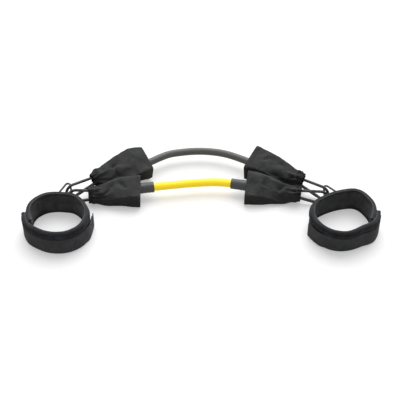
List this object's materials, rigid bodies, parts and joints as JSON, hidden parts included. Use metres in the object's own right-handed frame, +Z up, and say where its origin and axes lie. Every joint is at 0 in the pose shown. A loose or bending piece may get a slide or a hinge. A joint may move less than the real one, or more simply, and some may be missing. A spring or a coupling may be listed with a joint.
{
  "type": "lateral resistance trainer",
  "caption": "Elastic tubes with fabric sleeves and snap hooks, clipped to the rings of padded ankle cuffs, for sideways stepping against resistance.",
  "frame": {"origin": "centre of the bounding box without the two tubes, at floor level", "axes": "+X along the trainer towards the right cuff, +Y away from the cuffs towards the heavy tube, +Z up"},
  "size_m": [0.5452, 0.2345, 0.042],
  "materials": {
    "tube_light": "satin translucent latex",
    "tube_heavy": "satin latex",
    "collar": "matt moulded rubber",
    "plug": "matt nylon",
    "cord": "braided polyester",
    "hook": "gloss black coating",
    "steel": "bright",
    "sleeve": "soft woven nylon",
    "pad": "brushed knit over foam",
    "binding": "woven edge tape",
    "webbing": "woven webbing",
    "patch": "hook-and-loop tape"
  },
  "bodies": {
    "left_tube_ends": {"light_left_collar": "collar", "light_left_plug": "plug", "light_left_loop": "cord", "heavy_left_collar": "collar", "heavy_left_plug": "plug", "heavy_left_loop": "cord", "light_tube": "tube_light", "heavy_tube": "tube_heavy"},
    "right_tube_ends": {"light_right_collar": "collar", "light_right_plug": "plug", "light_right_loop": "cord", "heavy_right_collar": "collar", "heavy_right_plug": "plug", "heavy_right_loop": "cord"},
    "light_left_sleeve": {"light_left_sleeve": "sleeve"},
    "light_left_hook": {"light_left_hook": "hook", "light_left_gate_pin": "steel"},
    "light_left_gate": {"light_left_gate": "hook", "light_left_gate_spring": "steel"},
    "heavy_left_sleeve": {"heavy_left_sleeve": "sleeve"},
    "heavy_left_hook": {"heavy_left_hook": "hook", "heavy_left_gate_pin": "steel"},
    "heavy_left_gate": {"heavy_left_gate": "hook", "heavy_left_gate_spring": "steel"},
    "left_ring": {"left_ring": "steel"},
    "left_cuff": {"left_cuff_pad": "pad", "left_bottom_binding": "binding", "left_top_binding": "binding", "left_strap": "webbing", "left_ring_tab": "webbing", "left_loop_patch": "patch"},
    "left_strap_tail": {"left_strap_tail": "webbing", "left_hook_patch": "patch"},
    "light_right_sleeve": {"light_right_sleeve": "sleeve"},
    "light_right_hook": {"light_right_hook": "hook", "light_right_gate_pin": "steel"},
    "light_right_gate": {"light_right_gate": "hook", "light_right_gate_spring": "steel"},
    "heavy_right_sleeve": {"heavy_right_sleeve": "sleeve"},
    "heavy_right_hook": {"heavy_right_hook": "hook", "heavy_right_gate_pin": "steel"},
    "heavy_right_gate": {"heavy_right_gate": "hook", "heavy_right_gate_spring": "steel"},
    "right_ring": {"right_ring": "steel"},
    "right_cuff": {"right_cuff_pad": "pad", "right_bottom_binding": "binding", "right_top_binding": "binding", "right_strap": "webbing", "right_ring_tab": "webbing", "right_loop_patch": "patch"},
    "right_strap_tail": {"right_strap_tail": "webbing", "right_hook_patch": "patch"}
  },
  "joints": [
    {"name": "tube_stretch", "type": "slide", "parent": "left_tube_ends", "child": "right_tube_ends", "axis": [1, 0, 0], "range_m": [0, 0.25], "stiffness_N_per_m": 400, "deforming": ["light_tube", "heavy_tube"]},
    {"name": "light_left_sleeve_slide", "type": "slide", "parent": "left_tube_ends", "child": "light_left_sleeve", "axis": [0.9863, 0.165, 0], "range_m": [0, 0.018]},
    {"name": "light_left_hook_swing", "type": "hinge", "parent": "left_tube_ends", "child": "light_left_hook", "pos_m": [-0.15232, 0.00927, 0.0171], "axis": [0.1736, -0.9848, 0], "range_deg": [-3, 3]},
    {"name": "light_left_gate_turn", "type": "hinge", "parent": "light_left_hook", "child": "light_left_gate", "pos_m": [-0.15956, 0.00799, 0.01103], "axis": [-0.1736, 0.9848, 0], "range_deg": [0, 25], "stiffness_Nm_per_rad": 0.02, "springref_deg": -17.19},
    {"name": "heavy_left_sleeve_slide", "type": "slide", "parent": "left_tube_ends", "child": "heavy_left_sleeve", "axis": [0.8494, 0.5205, -0.0872], "range_m": [0, 0.003]},
    {"name": "heavy_left_hook_swing", "type": "hinge", "parent": "left_tube_ends", "child": "heavy_left_hook", "pos_m": [-0.16348, 0.03685, 0.02699], "axis": [0.5299, -0.848, 0], "range_deg": [-3, 3]},
    {"name": "heavy_left_gate_turn", "type": "hinge", "parent": "heavy_left_hook", "child": "heavy_left_gate", "pos_m": [-0.16873, 0.03357, 0.01973], "axis": [-0.5299, 0.848, 0], "range_deg": [0, 25], "stiffness_Nm_per_rad": 0.02, "springref_deg": -17.19},
    {"name": "left_ring_swivel", "type": "hinge", "parent": "light_left_hook", "child": "left_ring", "pos_m": [-0.20272, 0.00039, 0.0243], "axis": [0, 0, 1], "range_deg": [-4, 4]},
    {"name": "left_cuff_tilt", "type": "hinge", "parent": "left_ring", "child": "left_cuff", "pos_m": [-0.21464, -0.00838, 0.0215], "axis": [0.989, -0.1476, 0], "range_deg": [-12, 12]},
    {"name": "left_strap_peel", "type": "hinge", "parent": "left_cuff", "child": "left_strap_tail", "pos_m": [-0.17474, -0.09012, 0.0147], "axis": [0, 0, -1], "range_deg": [0, 60]},
    {"name": "light_right_sleeve_slide", "type": "slide", "parent": "right_tube_ends", "child": "light_right_sleeve", "axis": [-0.9763, 0.2164, 0], "range_m": [0, 0.007]},
    {"name": "light_right_hook_swing", "type": "hinge", "parent": "right_tube_ends", "child": "light_right_hook", "pos_m": [0.14359, 0.00997, 0.01822], "axis": [0.2079, 0.9781, 0], "range_deg": [-3, 3]},
    {"name": "light_right_gate_turn", "type": "hinge", "parent": "light_right_hook", "child": "light_right_gate", "pos_m": [0.15035, 0.00853, 0.01165], "axis": [-0.2079, -0.9781, 0], "range_deg": [0, 25], "stiffness_Nm_per_rad": 0.02, "springref_deg": -17.19},
    {"name": "heavy_right_sleeve_slide", "type": "slide", "parent": "right_tube_ends", "child": "heavy_right_sleeve", "axis": [-0.8366, 0.5433, -0.0698], "range_m": [0, 0.008]},
    {"name": "heavy_right_hook_swing", "type": "hinge", "parent": "right_tube_ends", "child": "heavy_right_hook", "pos_m": [0.15307, 0.03866, 0.02231], "axis": [0.5446, 0.8387, 0], "range_deg": [-3, 3]},
    {"name": "heavy_right_gate_turn", "type": "hinge", "parent": "heavy_right_hook", "child": "heavy_right_gate", "pos_m": [0.15827, 0.03528, 0.01506], "axis": [-0.5446, -0.8387, 0], "range_deg": [0, 25], "stiffness_Nm_per_rad": 0.02, "springref_deg": -17.19},
    {"name": "right_ring_swivel", "type": "hinge", "parent": "light_right_hook", "child": "right_ring", "pos_m": [0.19402, -0.00075, 0.02183], "axis": [0, 0, 1], "range_deg": [-4, 4]},
    {"name": "right_cuff_tilt", "type": "hinge", "parent": "right_ring", "child": "right_cuff", "pos_m": [0.20766, -0.00571, 0.0215], "axis": [0.9389, 0.3443, 0], "range_deg": [-12, 12]},
    {"name": "right_strap_peel", "type": "hinge", "parent": "right_cuff", "child": "right_strap_tail", "pos_m": [0.18527, -0.10284, 0.0147], "axis": [0, 0, 1], "range_deg": [0, 60]}
  ],
  "couplings": [
    {"joint": "heavy_left_hook_swing", "follows": "light_left_hook_swing", "ratio": 1},
    {"joint": "heavy_right_hook_swing", "follows": "light_right_hook_swing", "ratio": 1}
  ]
}
